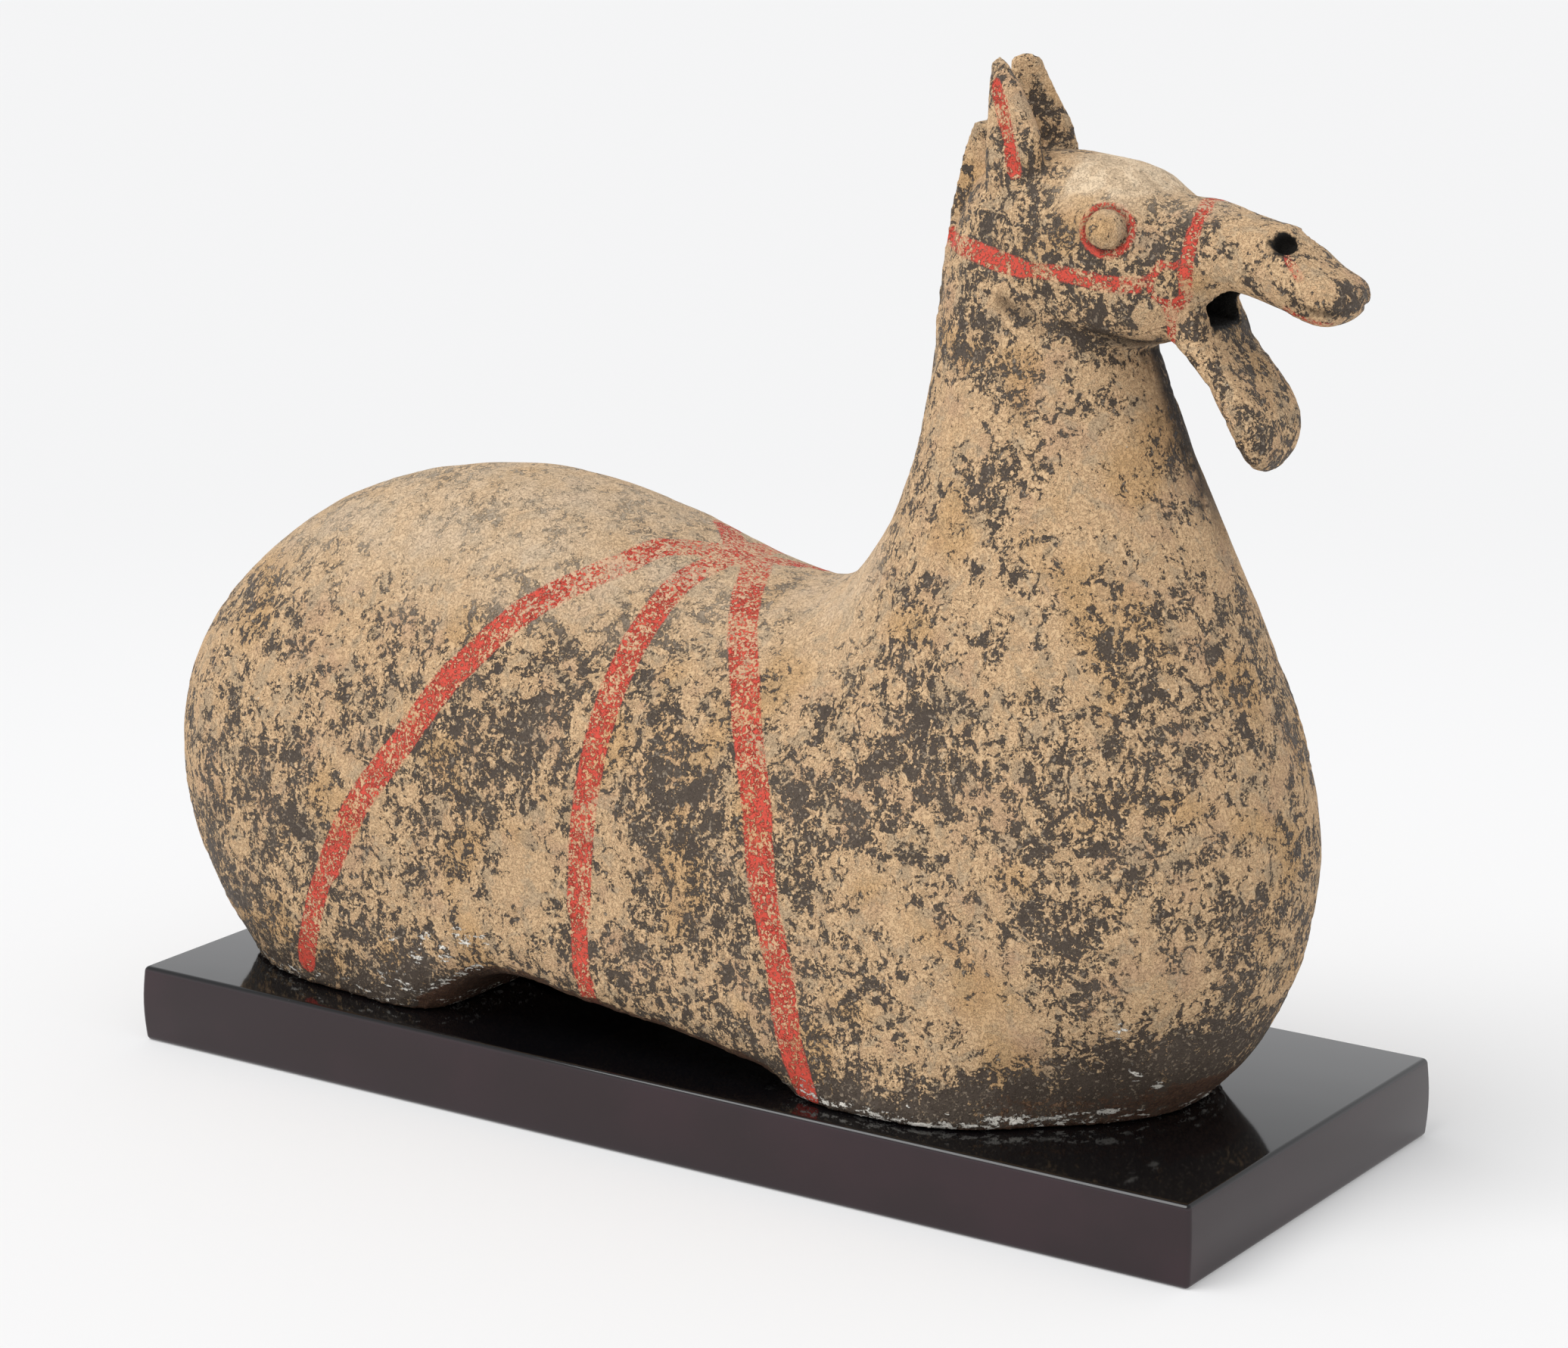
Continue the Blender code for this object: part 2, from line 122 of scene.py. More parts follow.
# Grooves: between the lips, inside the ear, under the jowl where the cheek stands proud of the neck. Along
# the lips and the jowl they are also painted dark as painted shade.
LIP_LINE = [
    (324, -23, 470), (331, -23, 467.5), (339, -21, 466), (346, -16, 465), (351, -6, 466), (352, 0, 466),
]
EAR_FOLD = [(155, -22, 564), (162, -27, 555), (168, -32, 541), (171, -33, 534), (173, -33, 524)]
JOWL_LINE = [
    (172, -42, 459), (183, -43, 455), (196, -44, 449), (211, -40, 445), (232, -31, 443), (250, -14, 441),
]

# How the soil's places are moved when they are folded over to the far side.
FOLD_SHIFT = (27.0, 0.0, -12.0)
CRUMB_HEIGHT = 0.0012

PALE_CLAY, DEEP_CLAY = (0.115, 0.088, 0.066), (0.037, 0.025, 0.017)
SOIL_MIST, SOIL_SPECK = (0.27, 0.205, 0.145), (0.36, 0.285, 0.205)
LIGHT_SOIL, RED_SOIL, GREY_SOIL = (0.71, 0.49, 0.28), (0.55, 0.345, 0.21), (0.41, 0.32, 0.215)
OCHRE, SOIL_PITS = (0.58, 0.335, 0.13), (0.29, 0.20, 0.125)
# The brow's paler dust is partly painted light from above.
FINE_DUST, BROW_DUST_AND_LIGHT = (0.68, 0.535, 0.375), (0.84, 0.66, 0.455)
WORN_RED, LIME = (0.64, 0.20, 0.135), (0.90, 0.85, 0.76)
BREAK_DARK, BREAK_LIGHT = (0.060, 0.028, 0.017), (0.17, 0.088, 0.050)
# Painted shade: the dark brown for shaded places, and the near-black inside the mouth and nostrils.
PAINTED_SHADE_COLOUR, HOLLOW_SHADE = (0.020, 0.013, 0.009), (0.010, 0.008, 0.006)
# The top lacquer's darker black is painted shade.
BROWN_LACQUER, TOP_LACQUER_SHADE = (0.020, 0.0045, 0.0085), (0.0025, 0.0025, 0.0032)
LACQUER_SPECK = (0.020, 0.018, 0.017)


class HorseSettings(bpy.types.PropertyGroup):
    grain: FloatProperty(
        name="Grain", description="Spacing of the points that carry the clay's relief",
        default=0.0017, min=0.001, max=0.01, unit="LENGTH", precision=4)
    hand_marks: FloatProperty(
        name="Hand Marks", description="Depth of the broad unevenness left by shaping the clay",
        default=0.0009, min=0.0, max=0.004, unit="LENGTH", precision=4)
    crust: FloatProperty(
        name="Crust", description="Thickness of the dried burial soil",
        default=0.0006, min=0.0, max=0.003, unit="LENGTH", precision=4)
    most_faces: IntProperty(
        name="Most Faces", description="Number of triangles the finished horse may have",
        default=190000, min=20000, max=199000)
    clay: FloatVectorProperty(
        name="Clay", description="Bare fired grey clay", subtype="COLOR",
        default=(0.068, 0.049, 0.036), min=0.0, max=1.0)
    soil: FloatVectorProperty(
        name="Soil", description="Dried soil on the clay", subtype="COLOR",
        default=(0.64, 0.415, 0.230), min=0.0, max=1.0)
    red: FloatVectorProperty(
        name="Red", description="Mineral red of the painted harness", subtype="COLOR",
        default=(0.66, 0.075, 0.046), min=0.0, max=1.0)


class BoardSettings(bpy.types.PropertyGroup):
    edge: FloatProperty(
        name="Edge", description="Radius of the board's rounded edges",
        default=0.0028, min=0.0005, max=0.01, unit="LENGTH", precision=4)
    pillow: FloatProperty(
        name="Pillow", description="How far the sides swell out between top and bottom",
        default=0.0012, min=0.0, max=0.004, unit="LENGTH", precision=4)
    lacquer: FloatVectorProperty(
        name="Lacquer", description="Colour of the black lacquer", subtype="COLOR",
        default=(0.012, 0.0020, 0.0042), min=0.0, max=1.0)
    roughness: FloatProperty(
        name="Roughness", description="Roughness of the polished lacquer",
        default=0.05, min=0.0, max=1.0)


class StudioSettings(bpy.types.PropertyGroup):
    camera_place: FloatVectorProperty(
        name="Camera", description="Where the camera stands", subtype="TRANSLATION", unit="LENGTH",
        default=(1.28833, -1.88679, 0.81041))
    camera_turn: FloatVectorProperty(
        name="Camera Turn", description="How the camera is turned", subtype="EULER", unit="ROTATION",
        default=tuple(math.radians(a) for a in (75.868349, 0.077508, 34.040025)))
    lens: FloatProperty(
        name="Lens", description="Focal length in millimetres", default=100.03, min=20.0, max=300.0)
    floor: FloatVectorProperty(
        name="Floor", description="Colour of the plain floor", subtype="COLOR",
        default=(0.625, 0.625, 0.625), min=0.0, max=1.0)


class Value:
    """A value in a material, with the usual operators: each one adds its Math node."""

    def __init__(self, finish, socket):
        self.finish, self.socket = finish, socket

    def _math(self, operation, *values):
        return self.finish.node("ShaderNodeMath", {"operation": operation}, dict(enumerate(values)))

    def __add__(self, other):
        return self._math("ADD", self, other)

    def __sub__(self, other):
        return self._math("SUBTRACT", self, other)

    def __rsub__(self, other):
        return self._math("SUBTRACT", other, self)

    def __mul__(self, other):
        return self._math("MULTIPLY", self, other)

    def step(self, low, high):
        """0 below low and 1 above high, with a soft step between."""
        return self.finish.node("ShaderNodeMapRange", {"interpolation_type": "SMOOTHSTEP"},
                                {0: self, 1: low, 2: high})

    __radd__ = __add__
    __rmul__ = __mul__


class Finish:
    """One material, whose nodes are added as its values are used."""

    def __init__(self, name):
        self.material = bpy.data.materials.new(name)
        self.material.use_nodes = True
        self.tree = self.material.node_tree
        self.shader = self.tree.nodes["Principled BSDF"]

    def put(self, socket, value):
        if isinstance(value, Value):
            self.tree.links.new(value.socket, socket)
        elif socket.type == "RGBA" and len(value) == 3:
            socket.default_value = (*value, 1.0)
        else:
            socket.default_value = value

    def node(self, kind, settings=None, sockets=None, out=0):
        made = self.tree.nodes.new(kind)
        for name, value in (settings or {}).items():
            setattr(made, name, value)
        for key, value in (sockets or {}).items():
            self.put(made.inputs[key], value)
        return Value(self, made.outputs[out])

    def field(self, name):
        return self.node("ShaderNodeAttribute", {"attribute_name": name}, out="Fac")

    def grain(self, where, size, detail=3.0, rough=0.6, bend=0.0):
        """Cloudy unevenness with patches of about the given size in metres, around 0.5."""
        return self.node("ShaderNodeTexNoise", {}, {
            "Vector": where, "Scale": 1.0 / size, "Detail": detail, "Roughness": rough, "Distortion": bend})

    def mix(self, low, high, share):
        return self.node("ShaderNodeMix", {"data_type": "RGBA"}, {0: share, 6: low, 7: high}, out=2)

    def bump(self, height, depth, under=None):
        """Height from 0 to 1 stands depth metres proud."""
        sockets = {"Height": height, "Strength": 1.0, "Distance": depth}
        if under:
            sockets["Normal"] = under
        return self.node("ShaderNodeBump", {}, sockets)

    def done(self, **values):
        for name, value in values.items():
            self.put(self.shader.inputs[name.replace("_", " ")], value)
        return self.material


def soft_step(value, low, high):
    share = np.clip((value - low) / (high - low), 0.0, 1.0)
    return share * share * (3.0 - 2.0 * share)


def cloud(points, size, octaves=2, shift=0.0):
    """Cloudy unevenness from about -1 to 1, with patches of the given size in millimetres."""
    moved = Vector((shift, 1.7 * shift, -shift))
    return np.array([noise.fractal(Vector(p) / size + moved, 1.0, 2.0, octaves) for p in points])


def to_line(points, line):
    """Distance of each point from a line of corners."""
    nearest = np.full(len(points), 1e9)
    for start, end in zip(np.array(line[:-1], float), np.array(line[1:], float)):
        way = end - start
        share = np.clip((points - start) @ way / (way @ way), 0.0, 1.0)
        nearest = np.minimum(nearest, np.linalg.norm(points - start - share[:, None] * way, axis=1))
    return nearest


def in_outline(across, up, outline):
    """Which places lie inside a flat outline."""
    inside = np.zeros(len(across), bool)
    for (x0, z0), (x1, z1) in zip(outline, outline[1:] + outline[:1]):
        if z0 == z1:
            continue
        crosses = (z0 > up) != (z1 > up)
        inside ^= crosses & (across < (x1 - x0) * (up - z0) / (z1 - z0) + x0)
    return inside


def red_lines(points):
    """How far each point is inside the red lines, in millimetres; negative outside."""
    near = near_side(points)
    inside = np.full(len(points), -8.0)
    for half_width, line in HARNESS_LINES + BRIDLE_LINES:
        inside = np.maximum(inside, half_width - to_line(near, line))
    for centre, radius, half_width in PAINTED_RINGS:
        away = np.linalg.norm(near - centre, axis=1)
        inside = np.maximum(inside, half_width - np.abs(away - radius))
    return inside


def soil_cover(points):
    """How much soil lies at each point: under 0.5 the clay shows."""
    cover = 0.562 + 0.09 * cloud(points, 36.0, 2) + 0.13 * cloud(points, 11.0, 2, 7.0)
    # Beyond the ridge the same places lie folded over and moved along a little.
    far = soft_step(points[:, 1], -5.0, 25.0)
    folded = near_side(points) - far[:, None] * FOLD_SHIFT
    for x, y, z, reach, strength in SOIL_PLACES:
        away = np.linalg.norm((points if y >= 0 else folded) - (x, y, z), axis=1)
        cover += 0.01 * strength * np.exp(-((away / reach) ** 2) * 2.0)
    low = 1.0 - soft_step(points[:, 2] - 0.32 * np.clip(points[:, 0] - 190.0, 0.0, 110.0), 48.0, 84.0)
    eye = 1.0 - soft_step(eye_distance(points), 8.0, 11.0)
    tip = np.linalg.norm(near_side(points) - (350, -9, 471), axis=1)
    tip = 1.0 - soft_step(tip, 6.0, 14.0)
    return cover + 0.10 * dust_and_top_light(points) - 0.19 * low + 0.08 * eye - 0.11 * tip


def dust_and_top_light(points):
    """Where an even coat of fine dust lies: along the back, the forehead and the nose; on these upper
    surfaces it is partly painted light from above.
    """
    back = soft_step(points[:, 2], 250.0, 300.0) * (1.0 - soft_step(points[:, 0], 90.0, 130.0))
    brow = soft_step(points[:, 2], 503.0, 520.0) * soft_step(points[:, 0], 190.0, 205.0)
    return np.maximum(0.75 * back, brow)


def eye_distance(points):
    """Distance from the middle of the nearer eye, along the cheek."""
    outward = np.array(EYE_OUTWARD) / np.linalg.norm(EYE_OUTWARD)
    away = near_side(points) - EYE_PLACE
    depth = away @ outward
    flat = np.linalg.norm(away - depth[:, None] * outward, axis=1)
    return np.where(np.abs(depth) < 14.0, flat, 99.0)


def near_side(points):
    """Each point, or its mirror image on the near side."""
    return np.column_stack([points[:, 0], -np.abs(points[:, 1]), points[:, 2]])


def hollows(points):
    """Where the surface lies inside the mouth or a nostril; these hollows are painted near-black as painted
    shade.
    """
    side = np.abs(points[:, 1])
    mouth = in_outline(points[:, 0], points[:, 2], MOUTH_OUTLINE) & (side < 15.5)
    away = to_line(near_side(points), NOSTRIL_LINE) + 2.2 * cloud(points, 3.5, 2)
    return np.maximum(mouth, 1.0 - soft_step(away, 6.6, 7.6))


def paint_wear(points):
    """How much more the head's red lines are worn than the body's, most on the cheek."""
    head = soft_step(points[:, 2], 400.0, 430.0) * (1.0 - 0.7 * soft_step(points[:, 2], 485.0, 491.0))
    return head * (0.5 + 0.6 * np.exp(-(((points[:, 0] - 205.0) / 38.0) ** 2)))


def ochre_share(points):
    """Broad patches where the soil is yellower."""
    return soft_step(cloud(points, 45.0, 2, 21.0), 0.15, 0.55) * 0.5


def lime_cover(points):
    """How likely white lime is: at the foot, along the broken edges and in single flakes."""
    lime = (0.52 + 0.25 * cloud(points, 22.0, 2, 31.0)) * (1.0 - soft_step(points[:, 2], 50.0, 61.0))
    for x, y, z, reach in LIME_PLACES:
        away = np.linalg.norm(points - (x, y, z), axis=1)
        lime = np.maximum(lime, 0.84 * (1.0 - soft_step(away, 0.2 * reach, 1.3 * reach)))
    side = near_side(points)
    edge = np.minimum(to_line(side, STUMP_EDGE), to_line(side, CHEST_EDGE))
    return np.maximum(lime, 0.86 * (1.0 - soft_step(edge, 1.0, 7.0)))


def stump_front(points, normals):
    """The broken front faces of the rear stumps, below their edge."""
    below = soft_step(77.0 + 0.57 * np.minimum(points[:, 0] + 115.0, 3.0) - points[:, 2], -1.5, 1.5)
    faces_front = soft_step(normals[:, 0] - normals[:, 2], -0.1, 0.3)
    return below * faces_front * (1.0 - soft_step(np.abs(points[:, 0] + 122.0), 32.0, 40.0))


def broken_clay(points, normals):
    """Where the clay is broken open: undersides, the rim below the chest, the stumps."""
    under = soft_step(-normals[:, 2], 0.45, 0.75) * (1.0 - soft_step(points[:, 2], 95.0, 120.0))
    low = 1.0 - soft_step(points[:, 2] - 0.06 * points[:, 0], 46.0, 66.0)
    chest = low * soft_step(points[:, 0], 150.0, 220.0) * 0.5
    return np.maximum.reduce([under, chest, stump_front(points, normals)])


def painted_shade(points, normals):
    """Painted shade: darkening on the throat's side turned from the light, under the jowl, between the lips,
    in the groove round the eye and on the stumps' front faces.
    """
    side = near_side(points)
    throat = soft_step(normals @ (0.94, 0.34, 0.0), 0.82, 0.94) * soft_step(points[:, 2], 320.0, 370.0)
    throat *= (1.0 - soft_step(points[:, 2], 448.0, 456.0)) * (points[:, 0] < 278.0)
    jowl_width = 4.0 + 3.0 * soft_step(points[:, 0], 200.0, 240.0)
    return np.maximum.reduce([
        throat,
        np.exp(-((to_line(side, JOWL_LINE) / jowl_width) ** 2)),
        0.9 * np.exp(-((to_line(side, LIP_LINE) / 1.8) ** 2)),
        0.7 * np.exp(-((eye_distance(points) - 10.8) / 0.8) ** 2),
        0.6 * stump_front(points, normals) * soft_step(points[:, 0], -150.0, -112.0),
    ])


def evened(points, edges, passes, share):
    """Draws each point towards the middle of its neighbours."""
    first, second, number = edges[:, 0], edges[:, 1], len(points)
    count = np.bincount(edges.ravel(), minlength=number)
    for _ in range(passes):
        for axis in range(3):
            line = points[:, axis]
            total = np.bincount(first, line[second], number) + np.bincount(second, line[first], number)
            points[:, axis] = line + share * (total / count - line)
    return points


def mesh_points(mesh):
    points = np.empty(len(mesh.vertices) * 3)
    mesh.vertices.foreach_get("co", points)
    return points.reshape(-1, 3)


def mesh_normals(mesh):
    normals = np.empty(len(mesh.vertices) * 3)
    mesh.vertex_normals.foreach_get("vector", normals)
    return normals.reshape(-1, 3)


def new_piece(name, shape, material, node):
    """Makes an object from a bmesh, riding on the object's body in place of its solid."""
    mesh = bpy.data.meshes.new(name)
    shape.to_mesh(mesh)
    shape.free()
    piece = bpy.data.objects.new(name, mesh)
    bpy.context.scene.collection.objects.link(piece)
    mesh.materials.append(material)
    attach(piece, "root")
    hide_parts(node)
    return piece


def settle(piece):
    """Gives the piece the mesh that its modifiers make."""
    material = piece.data.materials[0]
    graph = bpy.context.evaluated_depsgraph_get()
    mesh = bpy.data.meshes.new_from_object(piece.evaluated_get(graph))
    piece.modifiers.clear()
    piece.data = mesh
    mesh.materials.clear()
    mesh.materials.append(material)


def clay_finish(settings):
    """Grey fired clay under flaked burial soil, with worn mineral red on it."""
    f = Finish("soiled_grey_pottery")
    where = f.node("ShaderNodeTexCoord", out="Object")
    cover = f.field("soil_cover")
    paint = f.field("red_paint")
    hollow = f.field("hollow")
    lime = f.field("lime")
    ochre = f.field("ochre")
    broken = f.field("broken")
    wear = f.field("wear")
    dust_and_light_share = f.field("dust")
    flakes = f.grain(where, 0.0080, 5.0, 0.70, 1.1)
    crumbs = f.grain(where, 0.0017, 3.0, 0.7, 0.4)
    clouds = f.grain(where, 0.030, 3.0, 0.6)
    patches = f.grain(where, 0.013, 4.0, 0.65, 0.5)
    dust = f.grain(where, 0.0007, 2.0, 0.6)
    specks = f.grain(where, 0.0024, 2.0, 0.5)
    long_ways = f.node("ShaderNodeMapping", {}, {"Vector": where, "Scale": (1.0, 1.0, 0.28)})
    brushed = f.grain(long_ways, 0.0030, 3.0, 0.65)
    wide_ways = f.node("ShaderNodeMapping", {}, {"Vector": where, "Scale": (0.4, 0.4, 1.3)})
    streaks = f.grain(wide_ways, 0.0034, 3.0, 0.62)

    level = cover + (flakes - 0.5) * 1.20 + (crumbs - 0.5) * 0.62 + (brushed - 0.5) * 0.38
    soil = level.step(0.490, 0.526)
    mist = (level * 0.5 + (crumbs - 0.5) * 1.5 + (brushed - 0.5) * 0.5).step(0.26, 0.36)

    dark = f.mix(settings.clay, PALE_CLAY, clouds.step(0.40, 0.70) * 0.5)
    dark = f.mix(dark, DEEP_CLAY, crumbs.step(0.47, 0.64) * 0.7)
    dark = f.mix(dark, SOIL_MIST, mist * 0.58)
    dark = f.mix(dark, SOIL_SPECK, specks.step(0.60, 0.66) * 0.65)
    pale = f.mix(settings.soil, LIGHT_SOIL, crumbs.step(0.40, 0.65))
    pale = f.mix(pale, RED_SOIL, clouds.step(0.50, 0.70) * 0.7)
    pale = f.mix(pale, GREY_SOIL, patches.step(0.50, 0.62) * 0.55)
    pale = f.mix(pale, OCHRE, ochre)
    pale = f.mix(pale, SOIL_PITS, dust.step(0.52, 0.70) * 0.5 + flakes.step(0.60, 0.72) * 0.35)
    ground = f.mix(dark, pale, soil)
    # Fine dust on the back, forehead and nose; the paler mix on the brow is partly painted light from above.
    ground = f.mix(ground, FINE_DUST, dust_and_light_share * (0.35 + 0.5 * clouds.step(0.35, 0.65)))
    ground = f.mix(ground, BROW_DUST_AND_LIGHT, dust_and_light_share.step(0.70, 1.0) * patches.step(0.64, 0.40) * 0.8)

    line = (paint + (flakes - 0.5) * 3.6 + (crumbs - 0.5) * 3.6).step(-0.5, 0.4)
    worn = (level * 0.6 + (crumbs - 0.5) * 0.6 + wear * 0.07).step(0.350, 0.385)
    red = f.mix(settings.red, WORN_RED, crumbs.step(0.48, 0.66) * 0.45)
    painted = f.mix(ground, red, line * (1.0 - worn * 0.86))
    fresh = f.mix(BREAK_DARK, BREAK_LIGHT, crumbs.step(0.4, 0.6))
    opening = (broken + (flakes - 0.5) * 0.9 + (crumbs - 0.5) * 0.6).step(0.45, 0.6)
    opened = f.mix(painted, fresh, opening * 0.9)
    # Painted shade: dark brown on the throat, under the jowl, in the lip and eye grooves and on the stumps.
    shaded = f.mix(opened, PAINTED_SHADE_COLOUR, f.field("shade") * (0.35 + flakes).step(0.55, 0.85))
    flake = (lime + (streaks - 0.5) * 2.6 + (crumbs - 0.5) * 1.5).step(0.80, 0.86)
    limed = f.mix(shaded, LIME, flake)
    # Painted shade: the insides of the mouth and nostrils near-black.
    colour = f.mix(limed, HOLLOW_SHADE, hollow)

    height = f.bump(dust * 0.5 + crumbs + brushed * 0.5, 0.0008)
    normal = f.bump(soil + mist * 0.3 + flake * 0.8, 0.0008, height)
    return f.done(Base_Color=colour, Roughness=0.90 - 0.26 * (1.0 - soil) - 0.05 * crumbs,
                  IOR=1.38, Normal=normal)


def lacquer_finish(settings):
    """Polished black lacquer with a faint haze of dust; the top face is painted a darker black than the
    sides, as painted shade.
    """
    f = Finish("black_lacquer")
    where = f.node("ShaderNodeTexCoord", out="Object")
    haze = f.grain(where, 0.090, 3.0, 0.55)
    specks = f.grain(where, 0.0022, 2.0, 0.5)
    speck = specks.step(0.79, 0.82)
    # Painted shade: the top face gets a darker black than the browner sides, one lacquer in two copies.
    up = f.node("ShaderNodeSeparateXYZ", {}, {0: where}, out="Z").step(0.0415, 0.0432)
    side = f.mix(settings.lacquer, BROWN_LACQUER, haze.step(0.40, 0.70))
    colour = f.mix(side, TOP_LACQUER_SHADE, up)
    colour = f.mix(colour, LACQUER_SPECK, speck * 0.7)
    ripple = f.bump(f.grain(where, 0.060, 1.0, 0.4), 0.00018)
    return f.done(Base_Color=colour, Roughness=settings.roughness + 0.05 * haze + 0.3 * speck,
                  IOR=1.52, Normal=ripple)


def floor_finish(settings):
    """Plain pale studio floor, painted darker farther out as painted shade for the light's fall-off."""
    f = Finish("studio_floor")
    where = f.node("ShaderNodeTexCoord", out="Object")
    away = f.node("ShaderNodeVectorMath", {"operation": "LENGTH"}, {0: where}, out="Value")
    # Painted shade: the floor darkens with distance for the light's fall-off.
    far_floor_shade = tuple(0.91 * c for c in settings.floor)
    return f.done(
        Base_Color=f.mix(settings.floor, far_floor_shade, away.step(0.3, 1.8)), Roughness=0.9,
        Specular_IOR_Level=0.0, Emission_Color=(1.0, 1.0, 1.0), Emission_Strength=0.25)


class MakeHorse(bpy.types.Operator):
    """Make the clay horse with its soil crust, painted lines and breaks"""

    bl_idname = "pottery_horse.make_horse"
    bl_label = "Make Clay Horse"

    def execute(self, context):
        settings = context.scene.pottery_horse
        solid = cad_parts["horse"]
        shape = bmesh.new()
        shape.from_mesh(solid.data)
        bmesh.ops.remove_doubles(shape, verts=shape.verts, dist=0.00001)
        tree = self.sharp_edges(shape)
        piece = new_piece(
            "painted_clay_horse", shape, clay_finish(settings), "horse")
        remesh = piece.modifiers.new("Even Points", "REMESH")
        remesh.mode = "VOXEL"
        remesh.voxel_size = settings.grain * 1.0
        settle(piece)
        self.shape_clay(piece.data, tree, settings)
        thin = piece.modifiers.new("Fewer Faces", "DECIMATE")
        faces = sum(len(p.vertices) - 2 for p in piece.data.polygons)
        thin.ratio = min(1.0, settings.most_faces / faces)
        settle(piece)
        piece.data.shade_smooth()
        self.write_fields(piece.data)
        return {"FINISHED"}

    def sharp_edges(self, shape):
        """The places along the edges that the clay keeps sharp."""
        places = []
        for edge in shape.edges:
            if edge.is_manifold and edge.calc_face_angle() > math.radians(32):
                start, end = (v.co for v in edge.verts)
                steps = max(1, int((end - start).length / 0.002))
                places += [start.lerp(end, i / steps) for i in range(steps + 1)]
        tree = kdtree.KDTree(len(places))
        for number, place in enumerate(places):
            tree.insert(place, number)
        tree.balance()
        return tree

    def shape_clay(self, mesh, tree, settings):
        """Evens the facets out, then adds hand marks, the soil's crust and crumbs."""
        points = mesh_points(mesh)
        edges = np.empty(len(mesh.edges) * 2, np.int32)
        mesh.edges.foreach_get("vertices", edges)
        edges = edges.reshape(-1, 2)
        sharp = np.array([tree.find(p)[2] for p in points])
        jaw = soft_step(points[:, 0], 0.277, 0.287) * soft_step(points[:, 2], 0.345, 0.36)
        head = np.maximum(soft_step(points[:, 2], 0.41, 0.45), jaw)
        share = (0.62 - 0.59 * head) * soft_step(sharp, 0.0005, 0.011 - 0.006 * head)
        points = evened(points, edges, 70, share + 0.01 * (1.0 - 0.7 * head))
        points = evened(points, edges, 1, 0.5)
        mesh.vertices.foreach_set("co", points.ravel())
        mesh.update()
        normals = mesh_normals(mesh)
        height = self.relief(points / MM, sharp, head, settings)
        moved = points + normals * height[:, None]
        lo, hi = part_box("horse")
        moved = np.clip(moved, np.array(lo) + 0.00002, np.array(hi) - 0.00002)
        flat = points[:, 2] < lo[2] + 0.0008
        moved[flat, 2] = np.minimum(moved[flat, 2], points[flat, 2])
        mesh.vertices.foreach_set("co", moved.ravel())
        mesh.update()

    def relief(self, points, sharp, head, settings):
        """How far each point stands out, in metres."""
        marks = cloud(points, 70.0, 2, 3.0) + 0.5 * cloud(points, 24.0, 2, 5.0)
        crust = soft_step(soil_cover(points) + 0.10 * cloud(points, 4.5, 2, 11.0), 0.46, 0.60)
        crumb = soft_step(cloud(points, 5.0, 3, 9.0), 0.10, 0.75)
        side = near_side(points)
        cheek = np.exp(-((np.linalg.norm(side - (180, -40, 508), axis=1) / 34.0) ** 2))
        rim = 1.0 - soft_step(points[:, 2], 47.0, 62.0)
        eye = eye_distance(points)
        round_eye = soft_step(eye, 11.0, 18.0)
        height = settings.hand_marks * (marks - 0.3) * (1.0 - 0.5 * head)
        height *= soft_step(sharp, 0.0, 0.012) * round_eye
        height += settings.crust * (crust - 0.6) * (0.3 + 0.7 * round_eye)
        height += CRUMB_HEIGHT * crumb * (0.08 + 0.5 * cheek + 0.8 * rim) * round_eye
        height += MM * 2.4 * np.sqrt(np.clip(1.0 - (eye / 9.8) ** 2, 0.0, 1.0))
        height += MM * 1.3 * np.exp(-((eye - 13.0) / 1.3) ** 2)
        height -= MM * 0.9 * np.exp(-((eye - 10.8) / 0.9) ** 2)
        nostril = np.linalg.norm(side - NOSTRIL_LINE[0], axis=1)
        for depth, width, away in ((2.6, 4.0, to_line(side, JOWL_LINE)),
                                   (1.4, 1.6, to_line(side, LIP_LINE)),
                                   (2.2, 3.0, to_line(side, EAR_FOLD)), (2.6, 6.0, nostril)):
            height -= MM * depth * np.exp(-((away / width) ** 2))
        return height

    def write_fields(self, mesh):
        """Writes what lies on each point for the finish to read."""
        large = mesh_points(mesh) / MM
        normals = mesh_normals(mesh)
        fields = {
            "wear": paint_wear(large), "soil_cover": soil_cover(large), "red_paint": red_lines(large),
            "hollow": hollows(large), "lime": lime_cover(large), "ochre": ochre_share(large),
            "broken": broken_clay(large, normals), "dust": dust_and_top_light(large), "shade": painted_shade(large, normals),
        }
        for name, values in fields.items():
            layer = mesh.attributes.new(name, "FLOAT", "POINT")
            layer.data.foreach_set("value", np.asarray(values, np.float32))


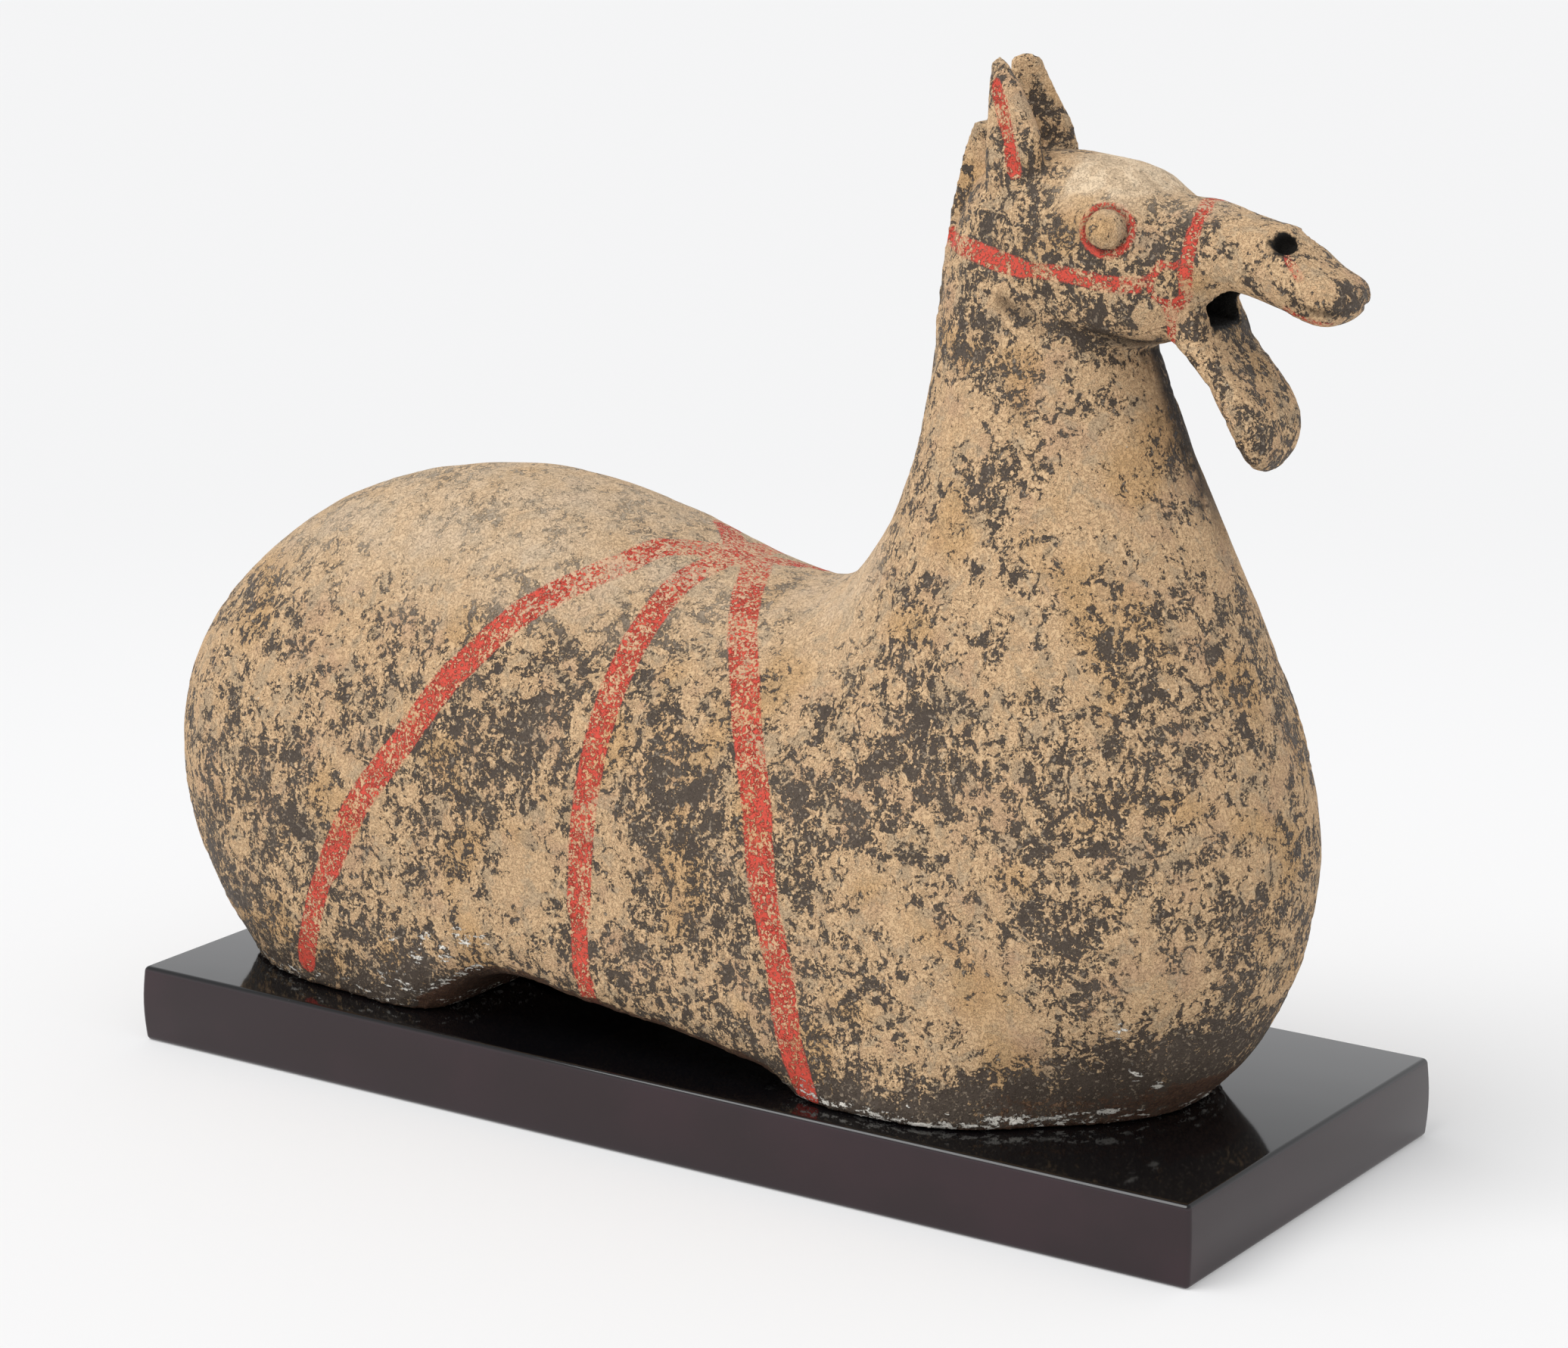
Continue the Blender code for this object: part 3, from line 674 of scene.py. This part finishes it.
class MakeBoard(bpy.types.Operator):
    """Make the lacquered board that the horse stands on"""

    bl_idname = "pottery_horse.make_board"
    bl_label = "Make Lacquered Board"

    def execute(self, context):
        settings = context.scene.pottery_board
        lo, hi = (Vector(corner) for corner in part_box("plinth"))
        size, middle = hi - lo, (lo + hi) / 2
        shape = bmesh.new()
        bmesh.ops.create_cube(shape, size=1.0)
        upright = [e for e in shape.edges if abs(e.verts[0].co.z - e.verts[1].co.z) > 0.5]
        bmesh.ops.subdivide_edges(shape, edges=upright, cuts=7, use_grid_fill=True)
        bmesh.ops.scale(shape, vec=size, verts=shape.verts)
        for vert in shape.verts:
            swell = settings.pillow * (1.0 - math.cos(math.pi * vert.co.z / size.z))
            vert.co.x -= math.copysign(swell, vert.co.x)
            vert.co.y -= math.copysign(swell, vert.co.y)
        bmesh.ops.translate(shape, vec=middle, verts=shape.verts)
        rims = [e for e in shape.edges if e.calc_face_angle() > math.radians(30)]
        bmesh.ops.bevel(shape, geom=rims, offset=settings.edge, offset_type="OFFSET", affect="EDGES",
                        segments=6, profile=0.5, material=-1, clamp_overlap=True)
        bmesh.ops.recalc_face_normals(shape, faces=shape.faces)
        piece = new_piece("lacquered_board", shape, lacquer_finish(settings), "plinth")
        piece.data.shade_smooth()
        return {"FINISHED"}


class MakeStudio(bpy.types.Operator):
    """Set up the floor, the soft light and the camera"""

    bl_idname = "pottery_horse.make_studio"
    bl_label = "Make Studio"

    def execute(self, context):
        settings = context.scene.pottery_studio
        scene = context.scene
        shape = bmesh.new()
        bmesh.ops.create_circle(shape, cap_ends=True, segments=64, radius=24.0)
        mesh = bpy.data.meshes.new("floor")
        shape.to_mesh(mesh)
        shape.free()
        floor = bpy.data.objects.new("floor", mesh)
        scene.collection.objects.link(floor)
        mesh.materials.append(floor_finish(settings))
        self.add_light("key", (-0.9, -1.6, 3.0), 1.8, 42.0)
        world = bpy.data.worlds.new("white_room")
        scene.world = world
        world.use_nodes = True
        self.light_room(world.node_tree)
        data = bpy.data.cameras.new("camera")
        data.lens = settings.lens
        data.sensor_fit = "HORIZONTAL"
        data.sensor_width = 36.0
        data.clip_end = 100.0
        camera = bpy.data.objects.new("camera", data)
        camera.location = settings.camera_place
        camera.rotation_euler = settings.camera_turn
        scene.collection.objects.link(camera)
        scene.camera = camera
        scene.view_settings.view_transform = "Standard"
        return {"FINISHED"}

    def add_light(self, name, place, strength, spread):
        """A broad, even light that shines from place towards the object."""
        data = bpy.data.lights.new(name, "SUN")
        data.angle = math.radians(spread)
        data.energy = strength
        light = bpy.data.objects.new(name, data)
        light.location = place
        light.rotation_euler = (-Vector(place)).to_track_quat("-Z", "Y").to_euler()
        bpy.context.scene.collection.objects.link(light)

    def light_room(self, tree):
        """White walls all round, with a dimmer ceiling."""
        where = tree.nodes.new("ShaderNodeTexCoord")
        parts = tree.nodes.new("ShaderNodeSeparateXYZ")
        fade = tree.nodes.new("ShaderNodeMapRange")
        for name, value in {"From Min": 0.30, "From Max": 0.75, "To Min": 1.08, "To Max": 0.52}.items():
            fade.inputs[name].default_value = value
        tree.links.new(where.outputs["Generated"], parts.inputs[0])
        tree.links.new(parts.outputs["Z"], fade.inputs["Value"])
        tree.links.new(fade.outputs["Result"], tree.nodes["Background"].inputs["Strength"])
        tree.nodes["Background"].inputs["Color"].default_value = (0.98, 0.985, 1.0, 1.0)


class HorsePanel(bpy.types.Panel):
    bl_label = "Pottery Horse"
    bl_idname = "VIEW3D_PT_pottery_horse"
    bl_space_type = "VIEW_3D"
    bl_region_type = "UI"
    bl_category = "Pottery Horse"

    def draw(self, context):
        for group, operators in GROUPS.items():
            settings = getattr(context.scene, group)
            for name in settings.bl_rna.properties.keys():
                if name not in {"rna_type", "name"}:
                    self.layout.prop(settings, name)
            for operator in operators:
                self.layout.operator(operator.bl_idname)


GROUPS = {
    "pottery_horse": [MakeHorse],
    "pottery_board": [MakeBoard],
    "pottery_studio": [MakeStudio],
}
SETTINGS = {
    "pottery_horse": HorseSettings,
    "pottery_board": BoardSettings,
    "pottery_studio": StudioSettings,
}
CLASSES = (*SETTINGS.values(), MakeHorse, MakeBoard, MakeStudio, HorsePanel)


def register():
    for cls in CLASSES:
        bpy.utils.register_class(cls)
    for name, group in SETTINGS.items():
        setattr(bpy.types.Scene, name, PointerProperty(type=group))


def unregister():
    for name in SETTINGS:
        delattr(bpy.types.Scene, name)
    for cls in reversed(CLASSES):
        bpy.utils.unregister_class(cls)


def main():
    register()
    bpy.ops.pottery_horse.make_studio()
    bpy.ops.pottery_horse.make_board()
    bpy.ops.pottery_horse.make_horse()


if __name__ == "__main__":
    main()
